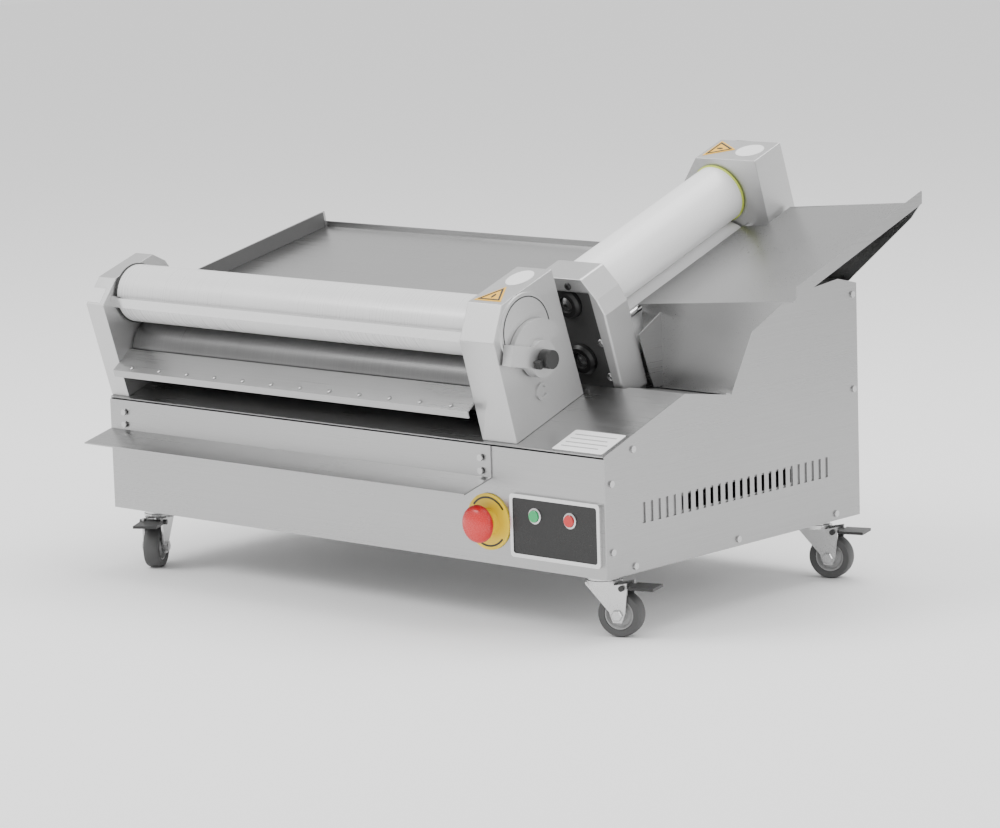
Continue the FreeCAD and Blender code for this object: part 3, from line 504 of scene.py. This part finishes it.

# ---------------------------------------------------------------- painted shade on the edge of the slide tray
# A dark strip covers the inner face of the tray's left upstand as painted shade for that shadowed
# face.  It follows the slope of the tray from the front unit to the short one.
tray_low, tray_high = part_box("slide_tray")
# This dark material is painted shade for the upstand's shadowed inner face.
painted_shade_strip = material("painted_shade_strip", cast_grain, 0.06, 0.1, 0.5, 0.0, 0.15)
tray_slope = math.radians(12)
strip_front = tray_low.y + 0.036
strip_back = tray_high.y - 0.004
strip_run = (strip_back - strip_front) / math.cos(tray_slope)
strip_turn = Matrix(((0, 0, 1), (math.cos(tray_slope), -math.sin(tray_slope), 0),
                     (math.sin(tray_slope), math.cos(tray_slope), 0))).to_4x4()
strip_foot = tray_high.z - 0.0195 - strip_run * math.sin(tray_slope)
strip_place = Matrix.Translation((tray_low.x + 0.0017, strip_front, strip_foot)) @ strip_turn
strip_outline = [(0, 0.001), (strip_run, 0.001), (strip_run, 0.0185), (0, 0.0185)]
piece("tray_edge_painted_shade", flat_plate(strip_outline, 0.0008), strip_place, painted_shade_strip,
      smooth=False)

# ---------------------------------------------------------------- push buttons and their plate
# The black glossy plate is framed by a thin steel rim.  The start button is green and the
# stop button red, and each has a bright ring.
gloss_black = material("gloss_black", cast_grain, 0.003, 0.006, 0.3, 0.0, 0.01)
green_cap = material("green_cap", cast_grain, (0.01, 0.32, 0.1), (0.02, 0.42, 0.14), 0.25, 0.0,
                     0.03)
red_cap = material("red_cap", cast_grain, (0.5, 0.02, 0.02), (0.65, 0.03, 0.03), 0.25, 0.0, 0.03)
finish(gloss_black, "control_plate")
finish(green_cap, "start_button")
finish(red_cap, "stop_button")
plate_low, plate_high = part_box("control_plate")
middle = (plate_low + plate_high) / 2
wide = (plate_high.x - plate_low.x) / 2
tall = (plate_high.z - plate_low.z) / 2
front_turn = Matrix(((1, 0, 0), (0, 0, -1), (0, 1, 0))).to_4x4()


def rounded(wide, tall, radius, steps=6):
    """Rectangle with round corners."""
    points = []
    for quarter, (sx, sy) in enumerate(((1, 1), (-1, 1), (-1, -1), (1, -1))):
        for step in range(steps + 1):
            angle = (quarter + step / steps) * math.pi / 2
            points.append((sx * (wide - radius) + radius * math.cos(angle),
                           sy * (tall - radius) + radius * math.sin(angle)))
    return points


piece("plate_rim", flat_plate(rounded(wide + 0.0025, tall + 0.0025, 0.004), 0.0042,
                              rounded(wide - 0.0015, tall - 0.0015, 0.003)),
      Matrix.Translation((middle.x, plate_high.y, middle.z)) @ front_turn, ground_steel)
for label in ("start_button", "stop_button"):
    low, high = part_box(label)
    spot = (low + high) / 2
    radius = (high.x - low.x) / 2
    ring = ((radius + 0.0004, 0), (radius + 0.0024, 0), (radius + 0.0022, 0.0012),
            (radius + 0.0004, 0.0016), (radius + 0.0004, 0))
    piece(label + "_ring", lathe(ring, 36), facing(spot.x, plate_low.y, spot.z, (0, -1, 0)),
          ground_steel)

# ---------------------------------------------------------------- emergency stop
# A red mushroom head twists on a steel stem over a yellow disc with two dark printed arcs.
estop_red = material("estop_red", cast_grain, (0.55, 0.012, 0.012), (0.68, 0.02, 0.02), 0.28, 0.0,
                     0.04, coat=0.2)
estop_yellow = material("estop_yellow", cast_grain, (0.82, 0.58, 0.02), (0.92, 0.68, 0.03), 0.4,
                        0.0, 0.02)
finish(estop_yellow, "estop_plate")
low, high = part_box("estop_head")
spot = (low + high) / 2
head_radius = (high.x - low.x) / 2
head_tall = high.y - low.y
mushroom = ((0, 0), (head_radius * 0.88, 0), (head_radius, 0.0022), (head_radius, 0.0052),
            (head_radius * 0.94, 0.0078), (head_radius * 0.8, 0.0102),
            (head_radius * 0.5, 0.0122), (head_radius * 0.2, head_tall), (0, head_tall))
head = piece("estop_mushroom", lathe(mushroom, 56), facing(spot.x, high.y, spot.z, (0, -1, 0)),
             estop_red, "estop_cap")
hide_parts("estop_head")
disc_face = panel_low.y - 0.002
for number, start in enumerate((0.6, 0.6 + math.pi)):
    piece(f"estop_arc_{number}", arc_strip(*ring_part(0.0268, 0.0248, 30, start, 1.9), 0.0003),
          Matrix.Translation((spot.x, disc_face, spot.z)) @ front_turn,
          sign_black, smooth=False)

# ---------------------------------------------------------------- casters
# Zinc-plated forks carry dark grey rubber tyres on moulded hubs.  A black brake pedal hangs
# on a pin through each fork, and a nut closes each end of the axle.
zinc = material("zinc", cast_grain, 0.5, 0.66, 0.3, 0.95, 0.05)
tyre_rubber = material("tyre_rubber", cast_grain, 0.05, 0.09, 0.62, 0.0, 0.2)
hub_grey = material("hub_grey", cast_grain, 0.28, 0.36, 0.45, 0.0, 0.1)
finish(zinc, "caster_plates", "unit_frame")
tyre_profile = ((0.0162, -0.0085), (0.0225, -0.0088), (0.0236, -0.007), (0.024, -0.003),
                (0.024, 0.003), (0.0236, 0.007), (0.0225, 0.0088), (0.0162, 0.0085),
                (0.0162, -0.0085))
hub_profile = ((0.0042, -0.008), (0.0075, -0.008), (0.0085, -0.0045), (0.0125, -0.004),
               (0.0145, -0.0075), (0.0158, -0.0078), (0.0158, 0.0078), (0.0145, 0.0075),
               (0.0125, 0.004), (0.0085, 0.0045), (0.0075, 0.008), (0.0042, 0.008),
               (0.0042, -0.008))
nut_profile = ((0, 0), (0.0062, 0), (0.0062, 0.0022), (0.0054, 0.003), (0, 0.003))
fork_half = 0.0126
for spot_name in ("front_left", "front_right", "rear_left", "rear_right"):
    finish(zinc, spot_name + "_fork")
    finish(black_plastic, spot_name + "_pedal")
    round_edges(spot_name + "_pedal", 0.001, 2)
    wheel = joints[spot_name + "_wheel_spin"]
    axle = Vector(wheel["axis"])
    centre = Vector(wheel["pos_m"])
    tyre = piece(spot_name + "_tread", lathe(tyre_profile, 56), facing(*centre, axle),
                 tyre_rubber, spot_name + "_wheel")
    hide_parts(spot_name + "_tyre")
    hub = piece(spot_name + "_centre", lathe(hub_profile, 40), facing(*centre, axle), hub_grey,
                spot_name + "_wheel")
    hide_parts(spot_name + "_hub")
    for hand in (-1, 1):
        piece(f"{spot_name}_nut_{'in' if hand < 0 else 'out'}", lathe(nut_profile, 6),
              facing(*(centre + axle * hand * fork_half), axle * hand), zinc,
              spot_name + "_swivel")

# ---------------------------------------------------------------- drive train
# Painted gearmotors under the deck turn ribbed rubber belts, one for each roller unit.
# They are out of sight in use.
motor_paint = material("motor_paint", cast_grain, (0.05, 0.07, 0.1), (0.08, 0.1, 0.14), 0.45, 0.2)
finish(motor_paint, "gearmotors")
finish(black_rubber, "drive_belts")

# ---------------------------------------------------------------- vent backing
# A light plate stands behind the louvres with a lens-shaped opening, so that the middle
# slots look into the dark body.
side_low, side_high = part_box("right_side_panel")
vent_y = (side_low.y + side_high.y) / 2 + 0.002
vent_middle = 0.1285
backing_wide = 0.172
backing_tall = 0.016
outer = rounded(backing_wide, backing_tall, 0.004, 12)
lens = []
for x, y in outer:
    angle = math.atan2(y / backing_tall, x / backing_wide)
    lens.append((0.115 * math.cos(angle), 0.012 * math.sin(angle)))
piece("vent_backing", flat_plate(outer, 0.0008, lens),
      Matrix.Translation((side_low.x - 0.0009, vent_y, vent_middle)) @ face_turn, steel_deep,
      smooth=False)

# ---------------------------------------------------------------- rating label
# A plain white label with four faint ruled lines and no text lies on the deck beside the
# front housing.
label_place = units["front"] @ Matrix.Translation((0.4015, -0.036, -0.0379))
label_thick = 0.0003
piece("deck_label", flat_plate(rounded(0.034, 0.021, 0.002), label_thick), label_place,
      sign_white, smooth=False)
label_line = material("label_line", cast_grain, 0.3, 0.4, 0.5, 0.0, 0.02)
for row in range(4):
    line_start = -0.028
    line_end = 0.028 - 0.006 * (row % 2)
    bar = [(line_start, -0.0008), (line_end, -0.0008), (line_end, 0.0008), (line_start, 0.0008)]
    piece(f"deck_label_line_{row}", flat_plate(bar, 0.0002),
          label_place @ Matrix.Translation((0, 0.012 - row * 0.008, label_thick)), label_line,
          smooth=False)
